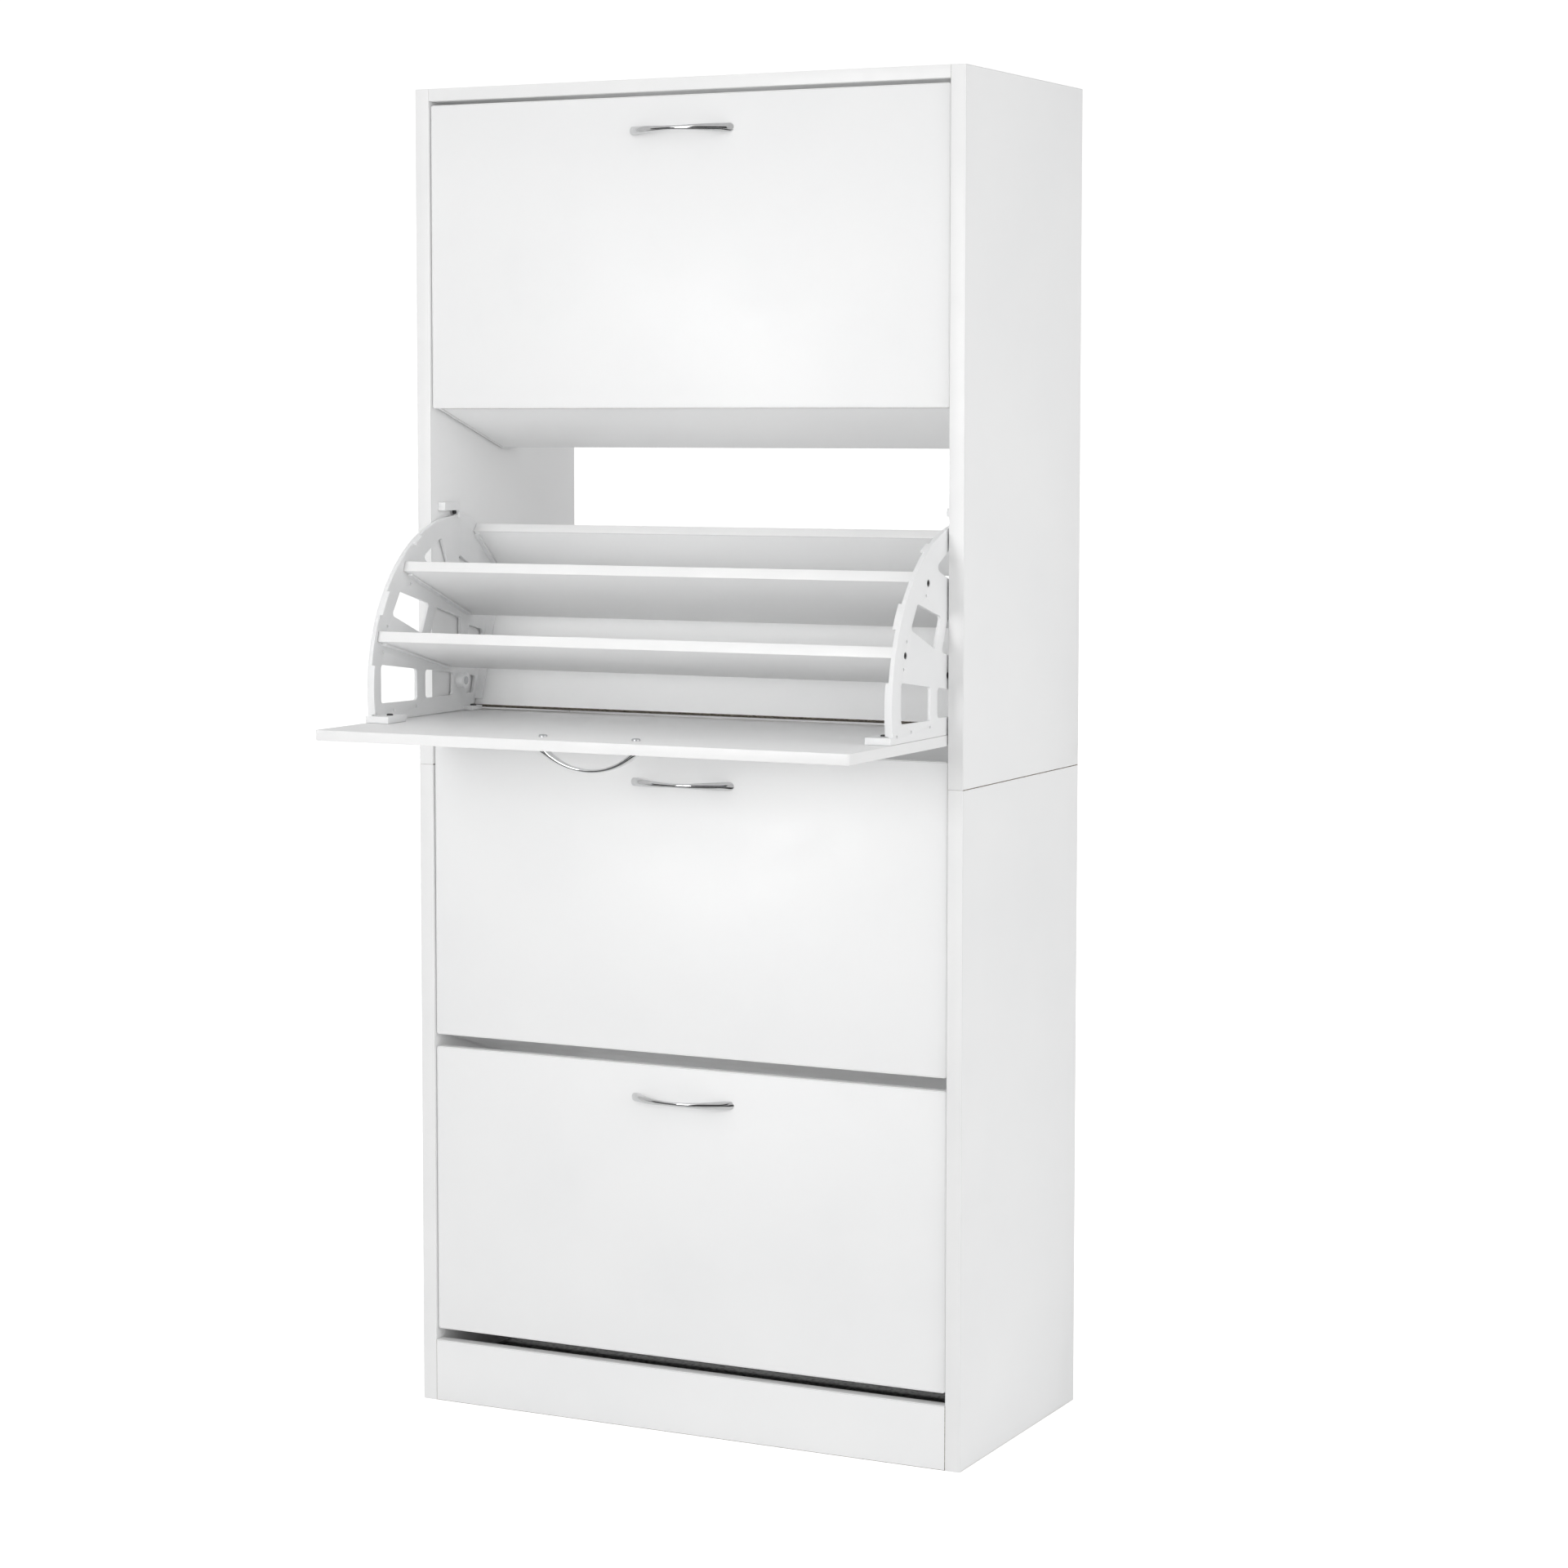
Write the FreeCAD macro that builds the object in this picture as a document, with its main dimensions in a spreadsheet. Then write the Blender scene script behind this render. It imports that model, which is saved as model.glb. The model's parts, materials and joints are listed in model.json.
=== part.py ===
import FreeCAD, Part

# Shoe cabinet with four tip-out flaps, in millimetres.
#
# Frame: +X is to the right of somebody facing the cabinet, +Y goes to the back and +Z is up.
# The origin is on the floor, under the middle of the whole object with its second flap open.
#
# The carcass is a stack of two pairs of side panels joined by fixed boards, with an open back.
# Each flap is a door with two plastic fan brackets on its inner face. The brackets carry four
# loose boards: two shoe shelves, a short rear board and a back board. The flap tips on two pins.
# A flap's pieces are drawn in the flap's own frame, with the pivot at the origin and the flap
# open: y goes to the back, z is up and the door lies flat below the pivot. Turning that frame by
# -90 degrees about X closes the flap.

import math
import os
import re

import Sketcher
from FreeCAD import Placement, Rotation, Vector

DOCUMENT = FreeCAD.newDocument("shoe_cabinet")
SHEET = DOCUMENT.addObject("Spreadsheet::Sheet", "dims")

DIMENSIONS = {
    # Carcass
    "width": 580.0,
    "depth": 285.0,
    "height": 1290.0,
    "panel": 15.0,            # side panel thickness
    "board": 12.0,            # fixed board thickness
    "seam": 634.0,            # height of the joint between lower and upper side panels
    "front": -37.4,           # y of the side panels' front edges
    "plinth_top": 60.8,
    "bottom_top": 30.0,       # top face of the bottom board, clear of the lowest flap
    "middle_top": 631.0,      # top face of the middle board
    "middle_setback": 16.0,   # middle board's front edge behind the side panels' front edges
    "rail": 66.0,             # height of each rear rail
    # Flap and its door
    "slab": 10.0,             # thickness of doors and loose boards
    "recess": 2.3,            # door face behind the side panels' front edges
    "side_gap": 1.2,          # door edge to side panel
    "door_tall": 292.0,
    "door_short": 283.0,      # the lowest door
    "corner": 2.5,            # door corner radius
    "ease": 0.5,              # chamfer along board edges
    "pivot_rise": 39.0,       # pivot above the closed door's lower edge
    "pivot_back": 42.8,       # pivot behind the side panels' front edges
    "pin_radius": 4.0,
    "pin_flange": 7.0,
    "pin_play": 0.08,         # radial clearance of the pin in the bracket
    # Fan bracket, measured inwards from its outer face
    "bracket_gap": 1.7,       # bracket's outer face to side panel
    "plate": 3.0,
    "fan_radius": 163.0,
    "wall": 2.5,              # thickness of rim and tabs
    "web": 2.0,               # thickness of ledges, back flange and skirt
    "rim_reach": 4.2,
    "tab_reach": 7.4,
    "lug_reach": 7.0,         # far enough across to meet the stop peg
    "ledge_reach": 8.5,
    "flange_reach": 11.3,
    "foot_reach": 25.0,
    "small_foot_reach": 14.0,
    # Handle
    "handle_pitch": 96.0,
    "handle_length": 110.0,
    "handle_drop": 32.0,      # handle line below the door's top edge
    "handle_projection": 21.0,
    "handle_thickness": 3.2,
    "handle_foot": 11.0,      # length of each flat foot on the door
    "handle_width": 8.0,
    "handle_waist": 4.0,      # width at the middle
    # Stop block on the side panel, above the pivot
    "stop_rise": 168.0,       # underside of the block above the pivot
    "stop_height": 8.0,
    "stop_front": 12.8,       # behind the side panels' front edges
    "stop_length": 28.0,
    "stop_reach": 8.0,
    "peg_radius": 2.0,
    "peg_height": 4.0,
    "peg_setback": 5.8,       # peg axis in front of the pivot
    # Fasteners
    "dowel_radius": 3.0,
    "dowel_length": 30.0,
    "bolt_radius": 2.5,
    "cam_radius": 6.0,
    "cam_height": 8.5,
    "cam_inset": 24.0,        # cam axis from the board's end
    "boss_radius": 7.5,
    "screw_radius": 1.5,
    "screw_head": 3.1,
    "head_height": 1.6,
    "screw_length": 18.0,
    "fit": 0.05,              # radial clearance of fasteners in their bores
}

# Loose boards in the open flap's frame: where the lower face starts (y, z), the slope in
# degrees and the length along it. The thickness is on the upper, inner side.
LOOSE_BOARDS = {
    "shelf_front": (-149.3, 46.1, -13.8, 135.0),
    "shelf_middle": (-101.8, 111.5, -21.2, 132.5),
    "shelf_rear": (29.0, 146.5, -42.0, 55.0),
    "back_board": (39.1, -29.2, 72.0, 124.0),
}

# Distances along each loose board at which screws enter its ends.
SCREW_STATIONS = {
    "shelf_front": (14.5, 112.0),
    "shelf_middle": (17.0, 108.0),
    "shelf_rear": (27.0,),
    "back_board": (24.0, 100.0),
}

# Lower edge of each closed door, and whether the flap is drawn open.
FLAPS = {
    1: {"bottom": 982.0, "door": "door_tall", "open": False},
    2: {"bottom": 675.5, "door": "door_tall", "open": True},
    3: {"bottom": 367.0, "door": "door_tall", "open": False},
    4: {"bottom": 72.0, "door": "door_short", "open": False},
}

SIDES = {"left": -1, "right": 1}
NODES = []

# Allowances shared by several pieces
THROUGH = 80.0               # a cut that passes through everything in its way
SPARE = 0.5                  # a bore is this much deeper than what it holds
OVER_FACE = 1.0              # a bore starts this far outside the face it enters
SCREW_CLEARANCE = 0.2        # radial, where a screw passes through a plastic piece


# ---------------------------------------------------------------- the sheet and its bindings

def bottom_of(number):
    """The sheet's alias for the height of a closed door's lower edge. An alias has no digits."""
    return "flap_bottom_" + "abcd"[number - 1]


def pivot_height(number):
    return f"{bottom_of(number)} + pivot_rise"


def fill_sheet():
    """Write every driving dimension into the sheet, one aliased cell each."""
    rows = dict(DIMENSIONS)
    for number, flap in FLAPS.items():
        rows[bottom_of(number)] = flap["bottom"]
    for row, (alias, value) in enumerate(rows.items(), start=1):
        SHEET.set(f"A{row}", alias)
        SHEET.set(f"B{row}", str(value))
        SHEET.setAlias(f"B{row}", alias)
    DOCUMENT.recompute()


def size(alias):
    """The value of one sheet cell."""
    return float(SHEET.get(alias))


def bind(item, prop, value):
    """Set a property to a number, or bind it to an expression in the sheet's aliases."""
    if isinstance(value, str):
        expression = re.sub(r"[a-z][a-z_]*", lambda word: "dims." + word.group(), value)
        item.setExpression(prop, expression)
    elif "." in prop:
        item.setExpression(prop, repr(float(value)))
    else:
        setattr(item, prop, value)


def place(item, corner, rotation=None):
    """Put an object at a point given as three numbers or sheet expressions."""
    if rotation is not None:
        item.Placement = Placement(Vector(), rotation)
    for axis, value in zip("xyz", corner):
        bind(item, f"Placement.Base.{axis}", value)
    return item


def node(item, label):
    """Name an object as one of the cabinet's pieces."""
    item.Label = label
    NODES.append(item)
    return item


# ---------------------------------------------------------------- solids

def box(name, corner, lengths, rotation=None):
    solid = DOCUMENT.addObject("Part::Box", name)
    for prop, value in zip(("Length", "Width", "Height"), lengths):
        bind(solid, prop, value)
    return place(solid, corner, rotation)


def rod(name, radius, length, start, axis):
    """A cylinder that starts at a point and runs along an axis."""
    solid = DOCUMENT.addObject("Part::Cylinder", name)
    bind(solid, "Radius", radius)
    bind(solid, "Height", length)
    return place(solid, start, Rotation(Vector(0, 0, 1), axis))


def group(name, solids):
    bundle = DOCUMENT.addObject("Part::Compound", name)
    bundle.Links = solids
    return bundle


def fuse(name, first, second):
    union = DOCUMENT.addObject("Part::Fuse", name)
    union.Base = first
    union.Tool = second
    return union


def cut(name, base, tools):
    difference = DOCUMENT.addObject("Part::Cut", name)
    difference.Base = base
    difference.Tool = group(name + "_bores", tools)
    return difference


def eased(name, solid):
    """Chamfer every edge of a box."""
    soft = DOCUMENT.addObject("Part::Chamfer", name)
    soft.Base = solid
    soft.Edges = [(edge, size("ease"), size("ease")) for edge in range(1, 13)]
    return soft


# ---------------------------------------------------------------- sketches

def plane(body, role):
    return next(item for item in body.Origin.OriginFeatures if item.Role == role)


def line(start, end):
    return Part.LineSegment(Vector(*start, 0), Vector(*end, 0))


def arc(start, middle, end):
    return Part.Arc(Vector(*start, 0), Vector(*middle, 0), Vector(*end, 0))


def circle(centre, radius):
    return [Part.Circle(Vector(*centre, 0), Vector(0, 0, 1), radius)]


def polygon(points):
    return [line(start, end) for start, end in zip(points, points[1:] + points[:1])]


def rounded(points, radius):
    """A closed polygon whose corners are arcs of one radius."""
    corners = []
    for index, point in enumerate(points):
        here = Vector(*point, 0)
        before = (Vector(*points[index - 1], 0) - here).normalize()
        after = (Vector(*points[(index + 1) % len(points)], 0) - here).normalize()
        half = before.getAngle(after) / 2
        inward = (before + after).normalize()
        reach = radius / math.tan(half)
        middle = here + inward * (radius / math.sin(half) - radius)
        corners.append((here + before * reach, middle, here + after * reach))
    edges = []
    for index, (enter, middle, leave) in enumerate(corners):
        edges.append(Part.Arc(enter, middle, leave))
        edges.append(Part.LineSegment(leave, corners[(index + 1) % len(corners)][0]))
    return edges


def polar(radius, angle):
    """A point on a circle about the pivot, by its angle from straight back."""
    return radius * math.cos(math.radians(angle)), radius * math.sin(math.radians(angle))


def ring_sector(outer, inner, first, last):
    """Part of a ring about the pivot between two angles."""
    middle = (first + last) / 2
    return [
        arc(polar(outer, first), polar(outer, middle), polar(outer, last)),
        line(polar(outer, last), polar(inner, last)),
        arc(polar(inner, last), polar(inner, middle), polar(inner, first)),
        line(polar(inner, first), polar(outer, first)),
    ]


def shared_ends(drawing, here, following):
    """Which end of one edge meets which end of the next, as sketch point numbers."""
    pairs = [(first, second) for first in (1, 2) for second in (1, 2)]
    return min(pairs, key=lambda pair: (drawing.getPoint(here, pair[0])
                                        - drawing.getPoint(following, pair[1])).Length)


def sketch(body, role, name, loops):
    drawing = body.newObject("Sketcher::SketchObject", name)
    drawing.AttachmentSupport = [(plane(body, role), "")]
    drawing.MapMode = "FlatFace"
    for loop in loops:
        first = drawing.GeometryCount
        drawing.addGeometry(loop, False)
        count = len(loop)
        for index in range(count if count > 1 else 0):
            here, following = first + index, first + (index + 1) % count
            leave, enter = shared_ends(drawing, here, following)
            drawing.addConstraint(
                Sketcher.Constraint("Coincident", here, leave, following, enter))
        if count == 1:
            radius = drawing.addConstraint(Sketcher.Constraint("Radius", first, loop[0].Radius))
            drawing.setDatum(radius, FreeCAD.Units.Quantity(f"{loop[0].Radius} mm"))
    return drawing


def pad(body, role, name, loops, length, reverse=False, both_ways=False):
    feature = body.newObject("PartDesign::Pad", name)
    feature.Profile = sketch(body, role, name + "_sketch", loops)
    bind(feature, "Length", length)
    feature.Reversed = reverse
    feature.Midplane = both_ways
    return feature


def pocket(body, role, name, loops, length, reverse=False, both_ways=False):
    feature = body.newObject("PartDesign::Pocket", name)
    feature.Profile = sketch(body, role, name + "_sketch", loops)
    bind(feature, "Length", length)
    feature.Reversed = reverse
    feature.Midplane = both_ways
    return feature


# ---------------------------------------------------------------- carcass

INNER = "(width / 2 - panel)"

# Fixed boards: front edge behind the carcass front, lower face, depth and height, and the
# (depth, height) places of the dowels in each end. A cam place is the bolt's depth.
FIXED_BOARDS = {
    "top_board": {
        "corner": ("0", "height - board"), "section": ("depth", "board"),
        "dowels": (("40", "board / 2"), ("245", "board / 2")), "cam": "142"},
    "middle_board": {
        "corner": ("middle_setback", "middle_top - board"),
        "section": ("depth - middle_setback", "board"),
        "dowels": (("30", "board / 2"), ("229", "board / 2")), "cam": "130"},
    "bottom_board": {
        "corner": ("board", "bottom_top - board"), "section": ("depth - board", "board"),
        "dowels": (("30", "board / 2"), ("233", "board / 2")), "cam": "132"},
    "plinth": {
        "corner": ("0", "0"), "section": ("board", "plinth_top"),
        "dowels": (("board / 2", "14"), ("board / 2", "46")), "cam": None},
    "rear_rail_upper": {
        "corner": ("depth - board", "height - board - rail"), "section": ("board", "rail"),
        "dowels": (("board / 2", "16"), ("board / 2", "50")), "cam": None},
    "rear_rail_middle": {
        "corner": ("depth - board", "middle_top"), "section": ("board", "rail"),
        "dowels": (("board / 2", "16"), ("board / 2", "50")), "cam": None},
    "rear_rail_lower": {
        "corner": ("depth - board", "bottom_top"), "section": ("board", "rail"),
        "dowels": (("board / 2", "16"), ("board / 2", "50")), "cam": None},
}

IN_PANEL = 9.0               # depth of dowels, bolts and pins in a side panel
BOLT_SHORT = 1.0             # a bolt stops this far short of its cam disc
PIN_FLANGE_PLAY = 0.5        # pin flange to bracket
SEAM_DOWELS = ("40", "245")


def across(sign, offset):
    """An x measured from a side panel's inner face towards the middle."""
    return f"{sign} * ({INNER} - {offset})"


def dowel(name, sign, y, z, clearance):
    """A dowel across the joint of a board's end, or the bore for it."""
    spare = SPARE if clearance else 0.0
    start = across(sign, -(IN_PANEL + spare))
    radius = "dowel_radius + fit" if clearance else "dowel_radius"
    return rod(name, radius, f"dowel_length + {2 * spare}", (start, y, z), Vector(-sign, 0, 0))


def cam_bolt(name, sign, y, z, clearance):
    """A bolt from a side panel into a board's end, or the bore for it."""
    spare = SPARE if clearance else 0.0
    start = across(sign, -(IN_PANEL + spare))
    radius = "bolt_radius + fit" if clearance else "bolt_radius"
    length = f"{IN_PANEL} + cam_inset - cam_radius - {BOLT_SHORT - 2 * spare}"
    return rod(name, radius, length, (start, y, z), Vector(-sign, 0, 0))


def cam_disc(name, sign, y, lower_face, clearance):
    """A disc in a board's underside that pulls its bolt tight, or the pocket for it."""
    over = OVER_FACE if clearance else 0.0
    start = (across(sign, "cam_inset"), y, f"{lower_face} - {over}")
    radius = "cam_radius + fit" if clearance else "cam_radius"
    length = f"cam_height + {over} + fit" if clearance else "cam_height"
    return rod(name, radius, length, start, Vector(0, 0, 1))


def carcass():
    panel_bores = {(side, level): [] for side in SIDES for level in ("lower", "upper")}
    dowels, bolts, discs = [], [], []

    for label, board in FIXED_BOARDS.items():
        corner_y = f"front + {board['corner'][0]}"
        corner_z = board["corner"][1]
        level = "lower" if label in ("middle_board", "bottom_board", "plinth",
                                     "rear_rail_lower") else "upper"
        blank = box(label + "_blank", (f"-{INNER}", corner_y, corner_z),
                    (f"2 * {INNER}", *board["section"]))
        bores = []
        for side, sign in SIDES.items():
            for index, (across_y, up_z) in enumerate(board["dowels"]):
                name = f"{label}_dowel_{side}_{index}"
                y, z = f"{corner_y} + {across_y}", f"{corner_z} + {up_z}"
                dowels.append(dowel(name, sign, y, z, False))
                bores.append(dowel(name + "_bore", sign, y, z, True))
                panel_bores[side, level].append(dowel(name + "_socket", sign, y, z, True))
            if board["cam"] is not None:
                name = f"{label}_cam_{side}"
                y, z = f"{corner_y} + {board['cam']}", f"{corner_z} + board / 2"
                bolts.append(cam_bolt(name, sign, y, z, False))
                discs.append(cam_disc(name + "_disc", sign, y, corner_z, False))
                bores.append(cam_bolt(name + "_bore", sign, y, z, True))
                bores.append(cam_disc(name + "_pocket", sign, y, corner_z, True))
                panel_bores[side, level].append(cam_bolt(name + "_socket", sign, y, z, True))
        node(cut(label + "_cut", eased(label + "_eased", blank), bores), label)

    for side, sign in SIDES.items():
        middle = f"{sign} * (width / 2 - panel / 2)"
        for index, depth in enumerate(SEAM_DOWELS):
            name = f"seam_dowel_{side}_{index}"
            y = f"front + {depth}"
            dowels.append(rod(name, "dowel_radius", "dowel_length",
                              (middle, y, "seam - dowel_length / 2"), Vector(0, 0, 1)))
            for level in ("lower", "upper"):
                panel_bores[side, level].append(
                    rod(f"{name}_{level}_bore", "dowel_radius + fit",
                        f"dowel_length + {2 * SPARE}",
                        (middle, y, f"seam - dowel_length / 2 - {SPARE}"),
                        Vector(0, 0, 1)))

    pins = []
    for number in FLAPS:
        level = "upper" if number <= 2 else "lower"
        y, z = "front + pivot_back", pivot_height(number)
        for side, sign in SIDES.items():
            name = f"pin_{number}_{side}"
            shaft = rod(name + "_shaft", "pin_radius", f"{IN_PANEL} + bracket_gap + flange_reach",
                        (across(sign, -IN_PANEL), y, z), Vector(-sign, 0, 0))
            flange = rod(name + "_flange", "pin_flange", f"bracket_gap - {PIN_FLANGE_PLAY}",
                         (across(sign, 0), y, z), Vector(-sign, 0, 0))
            pins.append(fuse(name, shaft, flange))
            panel_bores[side, level].append(
                rod(name + "_bore", "pin_radius + fit", IN_PANEL + SPARE,
                    (across(sign, -(IN_PANEL + SPARE)), y, z), Vector(-sign, 0, 0)))

    for side, sign in SIDES.items():
        edge = "-width / 2" if sign < 0 else "width / 2 - panel"
        for level, bottom, top in (("lower", "0", "seam"), ("upper", "seam", "height")):
            label = f"side_panel_{side}_{level}"
            blank = box(label + "_blank", (edge, "front", bottom),
                        ("panel", "depth", f"{top} - {bottom}"))
            node(cut(label + "_cut", eased(label + "_eased", blank), panel_bores[side, level]), label)

    node(group("dowel_group", dowels), "dowels")
    node(group("bolt_group", bolts), "cam_bolts")
    node(group("disc_group", discs), "cam_discs")
    node(group("pin_group", pins), "pivot_pins")


def stops():
    """A plastic block on each side panel above each pivot, with a rubber peg under it."""
    blocks, pegs = [], []
    for number in FLAPS:
        underside = f"{pivot_height(number)} + stop_rise"
        for side, sign in SIDES.items():
            name = f"stop_{number}_{side}"
            start_x = across(sign, "stop_reach") if sign > 0 else across(sign, 0)
            blank = box(name + "_blank", (start_x, "front + stop_front", underside),
                        ("stop_reach", "stop_length", "stop_height"))
            blocks.append(eased(name, blank))
            pegs.append(rod(name + "_peg", "peg_radius", "peg_height",
                            (across(sign, "stop_reach / 2"), "front + pivot_back - peg_setback",
                             f"{underside} - peg_height"), Vector(0, 0, 1)))
    node(group("stop_group", blocks), "flap_stops")
    node(group("peg_group", pegs), "stop_pegs")


# ---------------------------------------------------------------- flap pieces

def hang(item, number, x="0", y=0.0, z=0.0):
    """Move a piece from the open flap's frame to its place in the cabinet. x, y and z are where
    the piece's own origin is in that frame."""
    turn = Rotation(Vector(1, 0, 0), 0 if FLAPS[number]["open"] else -90)
    shift = turn.multVec(Vector(0, y, z))
    return place(item, (x, f"front + pivot_back + ({round(shift.y, 6)})",
                        f"{pivot_height(number)} + ({round(shift.z, 6)})"), turn)


def on_board(label, along, lift=0.5):
    """A point in a loose board's section: a distance along it, and a share of its thickness."""
    start_y, start_z, slope, _ = LOOSE_BOARDS[label]
    angle = math.radians(slope)
    rise = lift * size("slab")
    return (start_y + along * math.cos(angle) - rise * math.sin(angle),
            start_z + along * math.sin(angle) + rise * math.cos(angle))


def end_screw_places():
    return [on_board(label, station)
            for label, stations in SCREW_STATIONS.items() for station in stations]


def loose_board(number, label):
    start_y, start_z, slope, length = LOOSE_BOARDS[label]
    name = f"flap_{number}_{label}"
    half = f"({INNER} - bracket_gap - plate)"
    blank = box(name + "_blank", (f"-{half}", start_y, start_z), (f"2 * {half}", length, "slab"),
                Rotation(Vector(1, 0, 0), slope))
    bores = []
    for side, sign in SIDES.items():
        for index, station in enumerate(SCREW_STATIONS[label]):
            y, z = on_board(label, station)
            start = f"{sign} * ({half} + {OVER_FACE})"
            bores.append(rod(f"{name}_pilot_{side}_{index}", "screw_radius + fit",
                             f"screw_length + {OVER_FACE}", (start, y, z), Vector(-sign, 0, 0)))
    piece = cut(name + "_cut", eased(name + "_eased", blank), bores)
    return node(hang(piece, number), name)


# Feet of a bracket on the door: first and last y, top, how far inwards, and the screw's y and
# distance inwards where the foot has one.
FEET = {
    "front": (-166.0, -134.0, -24.0, "foot_reach", (-147.0, 15.0)),
    "middle": (-127.0, -115.0, -25.0, "small_foot_reach", None),
    "rear": (8.0, 26.0, -26.0, "small_foot_reach", (17.0, 9.0)),
}
DOOR_PILOT = 7.0             # depth of the pilot bores in a door's inner face
DOOR_OUTER, DOOR_INNER = "(recess - pivot_back)", "(recess - pivot_back + slab)"
HANDLE_SCREW = {"radius": 2.0, "head": 4.0, "head_height": 2.2, "grip": 3.0}
TIP_TRIM = 0.4               # the bow's thin tips are rounded off this far from its ends


def foot_screws():
    """The y, distance inwards and head seat of each screw that holds a bracket to its door."""
    return [(screw[0], screw[1], top) for _, _, top, _, screw in FEET.values() if screw]


def bracket_face(sign, inset):
    """An x measured inwards from a bracket's outer face."""
    return f"{sign} * ({INNER} - bracket_gap - {inset})"


def door(number):
    name = f"flap_{number}_door"
    tall = FLAPS[number]["door"]
    half = f"({INNER} - side_gap)"
    blank = box(name + "_blank", (f"-{half}", f"pivot_rise - {tall}", DOOR_OUTER),
                (f"2 * {half}", tall, "slab"))
    DOCUMENT.recompute()
    rounding = DOCUMENT.addObject("Part::Fillet", name + "_rounded")
    rounding.Base = blank
    upright = [index for index, edge in enumerate(blank.Shape.Edges, start=1)
               if abs(edge.tangentAt(edge.FirstParameter).z) > 0.9]
    rounding.Edges = [(index, size("corner"), size("corner")) for index in upright]
    DOCUMENT.recompute()
    easing = DOCUMENT.addObject("Part::Chamfer", name + "_eased")
    easing.Base = rounding
    rims = [index for index, edge in enumerate(rounding.Shape.Edges, start=1)
            if edge.BoundBox.ZLength < 0.01]
    easing.Edges = [(index, size("ease"), size("ease")) for index in rims]

    handle_y = f"pivot_rise - {tall} + handle_drop"
    bores = []
    for side, sign in SIDES.items():
        bores.append(rod(f"{name}_handle_bore_{side}", HANDLE_SCREW["radius"] + SCREW_CLEARANCE,
                         f"slab + {2 * OVER_FACE}",
                         (f"{sign} * handle_pitch / 2", handle_y, f"{DOOR_OUTER} - {OVER_FACE}"),
                         Vector(0, 0, 1)))
        for index, (y, inset, _) in enumerate(foot_screws()):
            bores.append(rod(f"{name}_foot_pilot_{side}_{index}", "screw_radius + fit",
                             DOOR_PILOT + OVER_FACE,
                             (bracket_face(sign, inset), y, f"{DOOR_INNER} + {OVER_FACE}"),
                             Vector(0, 0, -1)))
    return node(hang(cut(name + "_cut", easing, bores), number), name)


WINDOWS = (
    # Lowest tier, under the front shelf
    ((-143.0, 23.8), (-78.5, 16.0), (-78.5, -14.5), (-143.0, -13.5)),
    ((-63.0, 14.5), (-11.0, 8.5), (-12.0, -14.0), (-63.0, -13.5)),
    ((12.0, 5.0), (32.0, 3.0), (27.0, -14.0), (12.0, -14.0)),
    # Middle tier, between the front and middle shelves
    ((-107.5, 92.5), (-55.0, 78.5), (-68.5, 49.5), (-122.5, 70.0)),
    ((-42.0, 74.5), (4.0, 62.0), (4.0, 33.0), (-54.0, 46.0)),
    ((18.0, 54.0), (47.0, 48.0), (40.0, 24.0), (18.0, 29.0)),
    # Upper tier, between the middle shelf and the rear board
    ((-66.0, 124.0), (-31.0, 142.0), (-13.0, 103.0), (-58.0, 119.0)),
    ((0.0, 125.0), (26.0, 113.0), (42.0, 84.0), (3.0, 97.0)),
)
WINDOW_CORNER = 3.5
BASE = -30.2                         # underside of the bracket, just above the door
FAN_END = 80.0                       # angles are measured from straight back, over the top
RIM_END = 88.2
TABS = ((171.5, 188.0), (145.0, 154.0), (117.0, 122.0))
LUG = (88.4, 91.2)                   # angles of the lug that meets the stop peg
LUG_RADIUS = 167.0
REAR_OUTLINE = ((78.3, 115.6), (78.3, 91.0), (39.5, BASE))
LEDGES = {"shelf_front": (8.0, 128.0), "shelf_middle": (8.0, 125.0), "shelf_rear": (4.0, 50.0)}
FLANGE = (6.0, 116.0)
PEEP_HOLES = ((-152.0, -23.5), (-121.0, -21.5), (-79.5, -20.0),
              (-89.0, 99.0), (-131.0, 60.0), (-138.0, 35.5))
PEEP_RADIUS = 1.5
HEAD_SUNK = 0.2                      # screw heads below the bracket's outer face
LIFT = 0.01                          # share of a board's thickness left free beside a ledge


def strip(label, first, last, above=False):
    """A thin strip against a loose board's lower or upper face, from one distance to another."""
    web = size("web") / size("slab")
    near, far = (1 + LIFT, 1 + LIFT + web) if above else (-LIFT, -LIFT - web)
    return polygon([on_board(label, first, near), on_board(label, last, near),
                    on_board(label, last, far), on_board(label, first, far)])


def rectangle(low, high):
    return polygon([low, (high[0], low[1]), high, (low[0], high[1])])


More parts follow.
